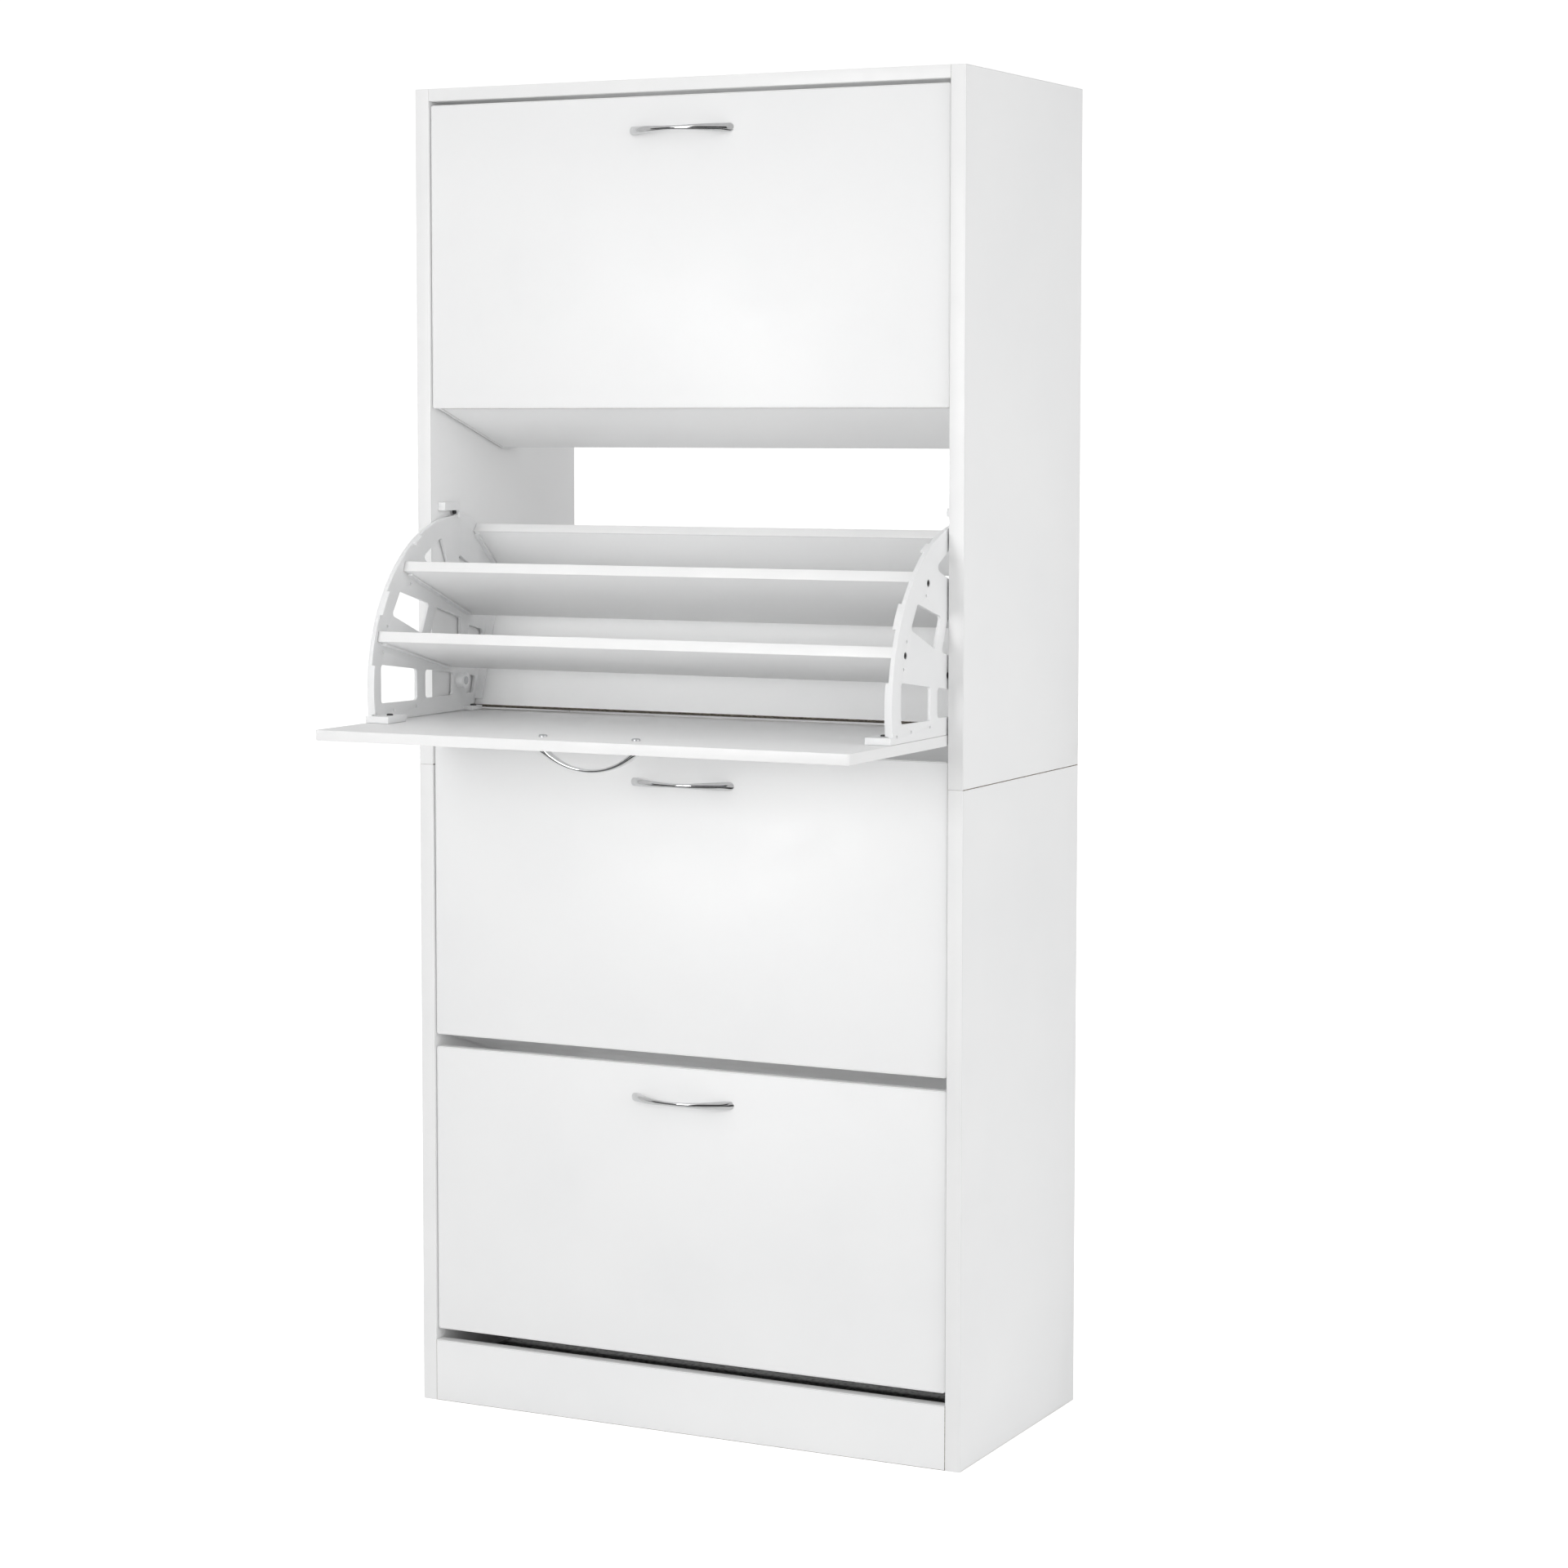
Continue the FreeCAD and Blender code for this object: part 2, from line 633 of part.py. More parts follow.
def bracket(number, side):
    """A fan-shaped plastic bracket: drawn from its outer face, with the pivot at the origin."""
    sign = SIDES[side]
    name = f"flap_{number}_bracket_{side}"
    body = DOCUMENT.addObject("PartDesign::Body", name)
    radius, wall = size("fan_radius"), size("wall")
    inwards = sign > 0
    foot_angle = 180.0 - math.degrees(math.asin(BASE / radius))
    foot = polar(radius, foot_angle)
    crown = polar(radius, FAN_END)
    rear = list(REAR_OUTLINE)

    outline = [arc(foot, polar(radius, (foot_angle + FAN_END) / 2), crown)]
    outline += [line(start, end) for start, end in zip([crown] + rear, rear + [foot])]
    pad(body, "YZ_Plane", name + "_plate", [outline], "plate", inwards)
    pocket(body, "YZ_Plane", name + "_windows",
           [rounded(list(window), WINDOW_CORNER) for window in WINDOWS], THROUGH, both_ways=True)
    rim = ring_sector(radius, radius - wall, RIM_END, foot_angle)
    pad(body, "YZ_Plane", name + "_rim", [rim], "rim_reach", inwards)
    tabs = [ring_sector(radius, radius - wall, first, last) for first, last in TABS]
    pad(body, "YZ_Plane", name + "_tabs", tabs, "tab_reach", inwards)
    lug = ring_sector(LUG_RADIUS, radius - wall, *LUG)
    pad(body, "YZ_Plane", name + "_lug", [lug], "lug_reach", inwards)
    ledges = [strip(label, *span) for label, span in LEDGES.items()]
    pad(body, "YZ_Plane", name + "_ledges", ledges, "ledge_reach", inwards)
    flange = strip("back_board", *FLANGE, above=True)
    pad(body, "YZ_Plane", name + "_flange", [flange], "flange_reach", inwards)
    skirt = rectangle((foot[0] + wall, BASE), (FEET["rear"][1], BASE + size("web")))
    pad(body, "YZ_Plane", name + "_skirt", [skirt], "rim_reach", inwards)
    for label, (first, last, top, reach, _) in FEET.items():
        pad(body, "YZ_Plane", f"{name}_{label}_foot", [rectangle((first, BASE), (last, top))],
            reach, inwards)
    boss = circle((0.0, 0.0), size("boss_radius"))
    pad(body, "YZ_Plane", name + "_boss", [boss], "flange_reach", inwards)

    bore = circle((0.0, 0.0), size("pin_radius") + size("pin_play"))
    pocket(body, "YZ_Plane", name + "_pivot_bore", [bore], THROUGH, both_ways=True)
    places = end_screw_places()
    clearance = size("screw_radius") + SCREW_CLEARANCE
    holes = [circle(place, clearance) for place in places]
    pocket(body, "YZ_Plane", name + "_screw_holes", holes, THROUGH, both_ways=True)
    recesses = [circle(place, size("screw_head") + SCREW_CLEARANCE) for place in places]
    pocket(body, "YZ_Plane", name + "_head_recesses", recesses, f"head_height + {HEAD_SUNK}",
           reverse=not inwards)
    peep_holes = [circle(place, PEEP_RADIUS) for place in PEEP_HOLES]
    pocket(body, "YZ_Plane", name + "_peep_holes", peep_holes, "2 * plate", both_ways=True)
    foot_holes = [circle((-sign * inset, y), clearance) for y, inset, _ in foot_screws()]
    pocket(body, "XY_Plane", name + "_foot_holes", foot_holes, THROUGH, both_ways=True)
    return node(hang(body, number, bracket_face(sign, 0)), name)


def bracket_screws(number):
    name = f"flap_{number}_bracket_screws"
    screws = []
    for side, sign in SIDES.items():
        for index, (y, z) in enumerate(end_screw_places()):
            label = f"{name}_{side}_{index}"
            inward = Vector(-sign, 0, 0)
            seat = (bracket_face(sign, HEAD_SUNK), y, z)
            head = rod(label + "_head", "screw_head", "head_height", seat, inward)
            shank = rod(label + "_shank", "screw_radius", "screw_length", seat, inward)
            screws.append(fuse(label, head, shank))
        for index, (y, inset, top) in enumerate(foot_screws()):
            label = f"{name}_{side}_foot_{index}"
            seat = (bracket_face(sign, inset), y, top)
            head = rod(label + "_head", "screw_head", "head_height", seat, Vector(0, 0, 1))
            shank = rod(label + "_shank", "screw_radius", f"{top} - {DOOR_INNER} + {DOOR_PILOT - SPARE}",
                        seat, Vector(0, 0, -1))
            screws.append(fuse(label, head, shank))
    return node(hang(group(name + "_group", screws), number), name)


def handle(number):
    """A crescent bow handle: x along it, and outwards from the door is -z."""
    name = f"flap_{number}_handle"
    body = DOCUMENT.addObject("PartDesign::Body", name)
    end, deep = size("handle_length") / 2, size("handle_projection")
    inner_end, inner_deep = end - size("handle_foot"), deep - size("handle_thickness")
    profile = [
        arc((-end, 0.0), (0.0, -deep), (end, 0.0)),
        line((end, 0.0), (inner_end, 0.0)),
        arc((inner_end, 0.0), (0.0, -inner_deep), (-inner_end, 0.0)),
        line((-inner_end, 0.0), (-end, 0.0)),
    ]
    pad(body, "XZ_Plane", name + "_bow", [profile], "handle_width", both_ways=True)
    paddle, waist = size("handle_width") / 2, size("handle_waist") / 2
    tip = end - TIP_TRIM
    centre = tip - paddle
    plan = [
        arc((-centre, paddle), (-tip, 0.0), (-centre, -paddle)),
        arc((-centre, -paddle), (0.0, -waist), (centre, -paddle)),
        arc((centre, -paddle), (tip, 0.0), (centre, paddle)),
        arc((centre, paddle), (0.0, waist), (-centre, paddle)),
    ]
    around = rectangle((-2 * end, -2 * deep), (2 * end, 2 * deep))
    pocket(body, "XY_Plane", name + "_plan", [around, plan], THROUGH, both_ways=True)
    bore, pitch = HANDLE_SCREW["radius"] + size("fit"), size("handle_pitch") / 2
    bores = [circle((-pitch, 0.0), bore), circle((pitch, 0.0), bore)]
    pocket(body, "XY_Plane", name + "_bores", bores, 2 * (HANDLE_SCREW["grip"] + SPARE), both_ways=True)
    return node(hang(body, number, y=size("pivot_rise") - size(FLAPS[number]["door"])
                     + size("handle_drop"), z=size("recess") - size("pivot_back")), name)


def handle_screws(number):
    name = f"flap_{number}_handle_screws"
    screws = []
    tall = FLAPS[number]["door"]
    y = f"pivot_rise - {tall} + handle_drop"
    for side, sign in SIDES.items():
        x = f"{sign} * handle_pitch / 2"
        head = rod(f"{name}_{side}_head", HANDLE_SCREW["head"], HANDLE_SCREW["head_height"],
                   (x, y, DOOR_INNER), Vector(0, 0, 1))
        shank = rod(f"{name}_{side}_shank", HANDLE_SCREW["radius"], f"slab + {HANDLE_SCREW['grip']}",
                    (x, y, DOOR_INNER), Vector(0, 0, -1))
        screws.append(fuse(f"{name}_{side}", head, shank))
    return node(hang(group(name + "_group", screws), number), name)


# ---------------------------------------------------------------- checks and export

def check_document():
    broken = [item.Name for item in DOCUMENT.Objects
              if "Invalid" in item.State or "Error" in item.State]
    if broken:
        raise RuntimeError(f"failed objects: {broken}")
    for piece in NODES:
        if piece.Shape.isNull() or not piece.Shape.isValid() or not piece.Shape.Solids:
            raise RuntimeError(f"bad shape: {piece.Label}")
    span = Part.makeCompound([piece.Shape for piece in NODES]).BoundBox
    print("box", [round(value, 2) for value in (span.XMin, span.XMax, span.YMin, span.YMax,
                                               span.ZMin, span.ZMax)])


def export():
    os.makedirs("parts", exist_ok=True)
    for piece in NODES:
        piece.Shape.exportStep(f"parts/{piece.Label}.step")
    print(len(NODES), "pieces")


fill_sheet()
for flap_number in FLAPS:
    door(flap_number)
carcass()
stops()
for flap_number in FLAPS:
    handle(flap_number)
    handle_screws(flap_number)
    for side_name in SIDES:
        bracket(flap_number, side_name)
    for board_label in LOOSE_BOARDS:
        loose_board(flap_number, board_label)
    bracket_screws(flap_number)
DOCUMENT.recompute()
check_document()
export()
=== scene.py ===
# Shoe cabinet with four tip-out flaps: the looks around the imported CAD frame, in metres.
#
# +X is to the right of somebody facing the cabinet, +Y goes to the back and +Z is up. The second
# flap from the top is open at rest. Boards, handles, screws, brackets, stops, pegs and cams are
# built here in place of their CAD nodes, each on its own body. Pins, dowels and bolts keep theirs.

import json
import math

import bmesh
import bpy
from mathutils import Matrix, Vector


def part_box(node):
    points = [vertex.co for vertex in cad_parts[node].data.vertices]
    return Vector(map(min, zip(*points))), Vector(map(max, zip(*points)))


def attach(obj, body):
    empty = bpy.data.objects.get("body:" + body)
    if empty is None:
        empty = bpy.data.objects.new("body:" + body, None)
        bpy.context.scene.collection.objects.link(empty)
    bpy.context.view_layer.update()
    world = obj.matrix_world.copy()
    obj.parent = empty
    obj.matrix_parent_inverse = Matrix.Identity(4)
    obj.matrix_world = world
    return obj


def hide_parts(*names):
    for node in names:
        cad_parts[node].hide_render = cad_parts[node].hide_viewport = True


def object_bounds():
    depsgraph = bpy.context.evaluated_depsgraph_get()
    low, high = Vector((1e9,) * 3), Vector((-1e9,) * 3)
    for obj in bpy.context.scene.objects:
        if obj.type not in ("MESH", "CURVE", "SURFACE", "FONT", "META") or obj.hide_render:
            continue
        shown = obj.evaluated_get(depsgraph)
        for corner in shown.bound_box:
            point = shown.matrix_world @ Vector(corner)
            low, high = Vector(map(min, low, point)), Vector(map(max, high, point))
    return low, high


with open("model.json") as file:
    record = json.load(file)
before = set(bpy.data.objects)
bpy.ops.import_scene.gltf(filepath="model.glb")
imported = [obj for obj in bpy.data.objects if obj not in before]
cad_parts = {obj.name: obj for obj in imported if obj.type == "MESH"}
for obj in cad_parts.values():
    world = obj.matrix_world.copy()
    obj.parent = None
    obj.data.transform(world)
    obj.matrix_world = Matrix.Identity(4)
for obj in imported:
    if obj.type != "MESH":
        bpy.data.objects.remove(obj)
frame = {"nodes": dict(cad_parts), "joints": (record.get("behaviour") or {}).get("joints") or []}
cad_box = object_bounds()

MM = 0.001
FLAPS = (1, 2, 3, 4)
SIDES = ("left", "right")
X, Y, Z = Vector((1, 0, 0)), Vector((0, 1, 0)), Vector((0, 0, 1))

# A flap that tips forward from rest is closed; the open one only tips back.
CLOSED = {number: next(joint["range_deg"][1] > 0 for joint in frame["joints"]
                       if joint["name"] == f"flap_{number}_tip") for number in FLAPS}


# ---------------------------------------------------------------- materials

NOISE_ENDS = (0.3, 0.7)         # nearly all of a noise texture's values lie between these


def shader(name, **sockets):
    """A new material with a Principled shader. The sockets that are even all over are set here."""
    made = bpy.data.materials.new(name)
    made.use_nodes = True
    principled = made.node_tree.nodes["Principled BSDF"]
    for socket, value in sockets.items():
        principled.inputs[socket.replace("_", " ")].default_value = value
    return made


def add(made, kind, **settings):
    """A new shader node, with its sockets and other settings given by name."""
    item = made.node_tree.nodes.new("ShaderNode" + kind)
    for name, value in settings.items():
        if name in item.inputs:
            item.inputs[name].default_value = value
        else:
            setattr(item, name, value)
    return item


def link(made, source, target, socket):
    made.node_tree.links.new(source, target.inputs[socket])


def place_in(made, stretch):
    """Coordinates on the piece in metres, stretched by a factor along each axis."""
    mapping = add(made, "Mapping", Scale=stretch)
    link(made, add(made, "TexCoord").outputs["Object"], mapping, "Vector")
    return mapping.outputs["Vector"]


def noise(made, scale, detail=2.0, stretch=(1, 1, 1)):
    """A soft random pattern of about so many blotches to the metre."""
    texture = add(made, "TexNoise", Scale=scale, Detail=detail)
    link(made, place_in(made, stretch), texture, "Vector")
    return texture.outputs["Fac"]


def cells(made, scale, stretch=(1, 1, 1)):
    """A texture of random cells, about so many to the metre, with distances and colours."""
    texture = add(made, "TexVoronoi", Scale=scale)
    link(made, place_in(made, stretch), texture, "Vector")
    return texture


def ramp(made, source, stops):
    """Colours along a value: stops are (position, colour)."""
    item = add(made, "ValToRGB")
    marks = item.color_ramp.elements
    while len(marks) < len(stops):
        marks.new(0.5)
    for mark, (position, colour) in zip(marks, stops):
        mark.position = position
        mark.color = (*colour, 1.0)
    link(made, source, item, "Fac")
    return item.outputs["Color"]


def remap(made, source, ends, results, **settings):
    """A value that runs between two ends, mapped to run between two others."""
    item = add(made, "MapRange", **settings)
    for socket, value in zip(("From Min", "From Max", "To Min", "To Max"), (*ends, *results)):
        item.inputs[socket].default_value = value
    link(made, source, item, "Value")
    return item.outputs["Result"]


def spread(made, source, low, high):
    """Noise mapped to run from low to high."""
    return remap(made, source, NOISE_ENDS, (low, high))


def finish_with(made, colour=None, roughness=None, reliefs=()):
    """Join a colour, a roughness and stacked bumps, as (height, depth in metres), to the shader."""
    principled = made.node_tree.nodes["Principled BSDF"]
    if colour is not None:
        link(made, colour, principled, "Base Color")
    if roughness is not None:
        link(made, roughness, principled, "Roughness")
    under = None
    for height, depth in reliefs:
        bump = add(made, "Bump", Distance=depth)
        link(made, height, bump, "Height")
        if under is not None:
            link(made, under, bump, "Normal")
        under = bump.outputs["Normal"]
    if under is not None:
        link(made, under, principled, "Normal")
    return made


def grey(level):
    return (level, level, level)


def fade(made, pattern, first, last):
    """A colour that runs from first to last along a noise texture's values."""
    return ramp(made, pattern, tuple(zip(NOISE_ENDS, (first, last))))


def melamine():
    """White melamine face: a fine pearl grain, and a sheen that varies a little."""
    made = shader("white_melamine", IOR=1.5)
    tone = fade(made, noise(made, 9, 3), (0.925, 0.928, 0.93), (0.95, 0.952, 0.952))
    sheen = spread(made, noise(made, 38, 4), 0.36, 0.47)
    return finish_with(made, tone, sheen, ((noise(made, 1100, 2), 0.03 * MM),
                                           (cells(made, 420).outputs["Distance"], 0.015 * MM)))


def edge_band():
    """White plastic edging, smoother than the face, with faint drawn lines along X."""
    made = shader("white_edge_band", IOR=1.5)
    tone = fade(made, noise(made, 14, 2), (0.9, 0.902, 0.902), (0.93, 0.93, 0.928))
    sheen = spread(made, noise(made, 60, 2), 0.28, 0.4)
    return finish_with(made, tone, sheen, ((noise(made, 1500, 2, (0.02, 1, 1)), 0.012 * MM),))


def glue_line():
    """The grey hairline between a board's face and its edge band."""
    made = shader("edge_glue_line", IOR=1.45)
    tone = ramp(made, noise(made, 300, 2), ((0.35, grey(0.52)), (0.65, grey(0.66))))
    return finish_with(made, tone, spread(made, noise(made, 800), 0.5, 0.7))


def chipboard_and_painted_shade():
    """The raw edge of a particle board: pale and dark chips pressed together. Its tones are darker
    than the core's own colour: painted shade for the slit at the back boards' raw feet and for the
    seam between the side panels.
    """
    made = shader("raw_chipboard_and_painted_shade", IOR=1.4)
    chips = cells(made, 520, (1, 1, 1.8))
    grain = noise(made, 900, 6)
    tone = ramp(made, chips.outputs["Color"], (
        (0.05, (0.08, 0.067, 0.052)), (0.3, (0.2, 0.175, 0.145)),
        (0.62, (0.31, 0.275, 0.23)), (0.95, (0.44, 0.4, 0.345))))
    return finish_with(made, tone, spread(made, grain, 0.8, 0.95),
                       ((chips.outputs["Distance"], 0.12 * MM), (grain, 0.08 * MM)))


def backing():
    """The grey backing paper of the bottom board, with dark flecks showing through."""
    made = shader("grey_backing", IOR=1.4)
    flecks = noise(made, 230, 4)
    tone = ramp(made, flecks, ((0.34, grey(0.12)), (0.42, grey(0.23)), (0.6, grey(0.33))))
    return finish_with(made, tone, spread(made, noise(made, 260, 3), 0.6, 0.75),
                       ((noise(made, 700, 4), 0.05 * MM),))


def moulded_plastic():
    """White polypropylene: spark-eroded grain and faint flow marks."""
    made = shader("white_moulded_plastic", IOR=1.49, Subsurface_Weight=0.06,
                  Subsurface_Radius=(0.004, 0.004, 0.004), Subsurface_Scale=0.25)
    tone = fade(made, noise(made, 30, 3, (1, 0.4, 0.4)), (0.885, 0.89, 0.895), (0.92, 0.923, 0.925))
    return finish_with(made, tone, spread(made, noise(made, 120, 3), 0.38, 0.52),
                       ((noise(made, 2600, 2), 0.02 * MM), (noise(made, 160, 1), 0.05 * MM)))


def metal(name, tones, roughness, reliefs):
    """Plated metal: two tones, a roughness range and bumps as (scale, detail, stretch, depth)."""
    made = shader(name, Metallic=1.0)
    colour = fade(made, noise(made, 160, 4), *tones)
    worn = spread(made, noise(made, 340, 5), *roughness)
    return finish_with(made, colour, worn, [(noise(made, scale, detail, stretch), depth)
                                            for scale, detail, stretch, depth in reliefs])


def rubber():
    """Soft black rubber with a dusty bloom."""
    made = shader("black_rubber", IOR=1.5)
    tone = fade(made, noise(made, 700, 3), grey(0.018), grey(0.035))
    return finish_with(made, tone, spread(made, noise(made, 900, 3), 0.6, 0.8),
                       ((noise(made, 3000, 2), 0.03 * MM),))


def beech():
    """Dowel wood: pores and rays drawn out along X."""
    made = shader("beech_dowel", IOR=1.4)
    grain = noise(made, 900, 5, (0.06, 1, 1))
    tone = ramp(made, grain, ((0.3, (0.45, 0.27, 0.14)), (0.5, (0.62, 0.42, 0.25)),
                              (0.7, (0.71, 0.52, 0.34))))
    return finish_with(made, tone, spread(made, grain, 0.75, 0.6), ((grain, 0.06 * MM),))


# The raw chipboard is darkened past its own colour, as painted shade for slits and seams.
MELAMINE, BAND, GLUE, CHIPBOARD_AND_PAINTED_SHADE = melamine(), edge_band(), glue_line(), chipboard_and_painted_shade()
BACKING, PLASTIC, RUBBER, BEECH = backing(), moulded_plastic(), rubber(), beech()
CHROME = metal("chrome", ((0.68, 0.685, 0.69), (0.75, 0.753, 0.757)), (0.05, 0.11),
               ((420, 3, (1, 1, 1), 0.004 * MM), (3000, 2, (0.05, 1, 1), 0.002 * MM)))
STEEL = metal("zinc_plated_steel", ((0.5, 0.51, 0.52), (0.62, 0.625, 0.64)), (0.26, 0.4),
              ((1800, 3, (1, 1, 1), 0.01 * MM),))
# Near-black steel for the bracket screws: painted shade, so the heads read as the dark screw holes
# they sit in.
SCREW_STEEL_PAINTED_HOLE_SHADE = metal("steel_painted_hole_shade", (grey(0.07), grey(0.13)), (0.32, 0.5),
                   ((1800, 3, (1, 1, 1), 0.01 * MM),))
ZINC = metal("cast_zinc", ((0.42, 0.425, 0.43), (0.56, 0.565, 0.57)), (0.42, 0.6),
             ((1400, 4, (1, 1, 1), 0.03 * MM),))


# ---------------------------------------------------------------- meshes

SMOOTH_BELOW = math.radians(34)     # faces that meet at less than this are shaded smooth
MERGE = 0.002 * MM                  # points closer than this are one
ALONG = 0.7                         # two directions agree if their dot product is above this


def into_scene(item):
    bpy.context.scene.collection.objects.link(item)
    return item


def mesh_object(name, mesh, materials):
    """Make an object of a bmesh, which is freed."""
    data = bpy.data.meshes.new(name)
    mesh.to_mesh(data)
    mesh.free()
    for made in materials:
        data.materials.append(made)
    return into_scene(bpy.data.objects.new(name, data))


def piece(name, mesh, materials, body, slot, *nodes):
    """Make a visible piece of a bmesh, on its body and in place of its CAD nodes."""
    bmesh.ops.recalc_face_normals(mesh, faces=mesh.faces)
    item = mesh_object(name, mesh, materials)
    item.data.shade_smooth()
    item.data.set_sharp_from_angle(angle=SMOOTH_BELOW)
    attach(item, body)
    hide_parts(*nodes)


def join_rings(mesh, rings, paint=None):
    """Skin closed rings of vertices one after another. paint gives each quad's material index."""
    for level, (ring, following) in enumerate(zip(rings, rings[1:])):
        for index in range(len(ring)):
            after = (index + 1) % len(ring)
            face = mesh.faces.new((ring[index], ring[after], following[after], following[index]))
            if paint is not None:
                face.material_index = paint(level, index)


def islands(node):
    """The separate solids of a CAD node, as lists of points."""
    mesh = bmesh.new()
    mesh.from_mesh(frame["nodes"][node].data)
    bmesh.ops.remove_doubles(mesh, verts=mesh.verts, dist=MERGE)
    found, seen = [], set()
    for start in mesh.verts:
        if start in seen:
            continue
        seen.add(start)
        queue = [start]
        for vertex in queue:
            for edge in vertex.link_edges:
                other = edge.other_vert(vertex)
                if other not in seen:
                    seen.add(other)
                    queue.append(other)
        found.append([vertex.co.copy() for vertex in queue])
    mesh.free()
    return found


def close_ends(mesh, rings):
    mesh.faces.new(rings[0])
    mesh.faces.new(rings[-1])


def span(points):
    """Lowest and highest corner of some points."""
    return (Vector(map(min, zip(*points))), Vector(map(max, zip(*points))))


def upright(points):
    """The middle of the foot, the radius and the height of an upright cylinder."""
    low, high = span(points)
    foot = Vector(((low.x + high.x) / 2, (low.y + high.y) / 2, low.z))
    return foot, (high.x - low.x) / 2, high.z - low.z


# ---------------------------------------------------------------- boards

EASE = 0.45 * MM                # rounding of a board's edges
EASE_STEPS = 4
BAND_DEPTH = 0.9 * MM           # thickness of the edge band, seen on a board's face
GLUE_WIDTH = 0.09 * MM          # half width of the groove where band and face meet
GLUE_DEPTH = 0.05 * MM
CORNER_STEPS = 5
SHARP_CORNER = 0.5 * MM
LEAST_CORNER = 0.1 * MM
FACE_INDEX, BAND_INDEX, GLUE_INDEX, RAW_INDEX = range(4)


def board_frame(node):
    """Centre, axes and half sizes of a board: length, width and thickness."""
    data = frame["nodes"][node].data
    thick = max(data.polygons, key=lambda face: face.area).normal.copy()
    length = Z if abs(thick.dot(X)) > ALONG else X
    axes = (length, thick.cross(length), thick)
    centre, half = Vector(), []
    for axis in axes:
        along = [vertex.co.dot(axis) for vertex in data.vertices]
        centre += axis * (max(along) + min(along)) / 2
        half.append((max(along) - min(along)) / 2)
    return centre, axes, half


def board_profile(half_thickness):
    """From one face to the other round a board's edge: (inset from the outline, height)."""
    top = [(BAND_DEPTH + GLUE_WIDTH, half_thickness),
           (BAND_DEPTH, half_thickness - GLUE_DEPTH),
           (BAND_DEPTH - GLUE_WIDTH, half_thickness)]
    for step in range(EASE_STEPS + 1):
        turn = math.pi / 2 * step / EASE_STEPS
        top.append((EASE * (1 - math.sin(turn)), half_thickness - EASE * (1 - math.cos(turn))))
    return top + [(inset, -height) for inset, height in reversed(top)]


def outline(half_length, half_width, radius):
    """A rectangle with rounded corners, anticlockwise from the right."""
    points = []
    for quarter in range(4):
        start = quarter * math.pi / 2
        centre_u = (half_length - radius) * (1 if quarter in (0, 3) else -1)
        centre_v = (half_width - radius) * (1 if quarter in (0, 1) else -1)
        for step in range(CORNER_STEPS + 1):
            turn = start + math.pi / 2 * step / CORNER_STEPS
            points.append((centre_u + radius * math.cos(turn), centre_v + radius * math.sin(turn)))
    return points


CAM_POCKET = 0.05 * MM          # room round a cam disc
POCKET_SIDES = 48


def with_pockets(mesh, node):
    """A board's bmesh, with pockets cut for the cam discs that lie in its underside."""
    low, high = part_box(node)
    discs = [(foot, radius, height) for foot, radius, height in map(upright, islands("cam_discs"))
             if abs(foot.z - low.z) < MERGE and foot.z + height < high.z]
    if not discs:
        return mesh
    cutter = bmesh.new()
    for foot, radius, height in discs:
        bmesh.ops.create_cone(cutter, cap_ends=True, segments=POCKET_SIDES,
                              radius1=radius + CAM_POCKET, radius2=radius + CAM_POCKET,
                              depth=2 * height, matrix=Matrix.Translation(foot))
    for face in cutter.faces:
        face.material_index = RAW_INDEX
    bmesh.ops.recalc_face_normals(mesh, faces=mesh.faces)
    layers = (MELAMINE, BAND, GLUE, CHIPBOARD_AND_PAINTED_SHADE)
    board, tool = mesh_object("board", mesh, layers), mesh_object("cutter", cutter, layers)
    carve = board.modifiers.new("pockets", "BOOLEAN")
    carve.operation = "DIFFERENCE"
    carve.solver = "EXACT"
    carve.object = tool
    carved = bpy.data.meshes.new_from_object(
        board.evaluated_get(bpy.context.evaluated_depsgraph_get()))
    result = bmesh.new()
    result.from_mesh(carved)
    for data in (board.data, tool.data, carved):
        bpy.data.meshes.remove(data)
    return result


def slab(node, body, raw=(), radius=SHARP_CORNER, faces=None):
    """A faced board with edge bands and their glue lines. raw are the directions of its sides
    that have no band and show the core. faces is a material in place of the white melamine."""
    centre, axes, half = board_frame(node)
    profile = board_profile(half[2])
    shape = outline(half[0], half[1], radius)
    mesh = bmesh.new()
    rings = []
    for inset, height in profile:
        corner = max(radius - inset, LEAST_CORNER)
        rings.append([mesh.verts.new(centre + axes[0] * u + axes[1] * v + axes[2] * height)
                      for u, v in outline(half[0] - inset, half[1] - inset, corner)])

    band_levels = range(2, len(profile) - 3)    # rows of quads between the two glue lines
    core_levels = range(3, len(profile) - 4)    # those of them past the flat faces

    def paint(level, index):
        u, v = ((here + there) / 2 for here, there in
                zip(shape[index], shape[(index + 1) % len(shape)]))
        sideways = half[0] - abs(u) < half[1] - abs(v)
        outward = axes[0] * math.copysign(1, u) if sideways else axes[1] * math.copysign(1, v)
        if any(outward.dot(direction) > ALONG for direction in raw):
            return RAW_INDEX if level in core_levels else FACE_INDEX
        return BAND_INDEX if level in band_levels else GLUE_INDEX

    join_rings(mesh, rings, paint)
    close_ends(mesh, rings)
    slot = "white_board" if faces is None else "raw_board"
    piece(node + "_faced", with_pockets(mesh, node), (faces or MELAMINE, BAND, GLUE, CHIPBOARD_AND_PAINTED_SHADE),
          body, slot, node)


DOOR_CORNER = 2.5 * MM
LEAN = math.radians(72)         # slope of the back board, whose lower edge has no band
OPEN_FOOT = Vector((0, -math.cos(LEAN), -math.sin(LEAN)))
CLOSED_FOOT = Vector((0, -math.sin(LEAN), math.cos(LEAN)))

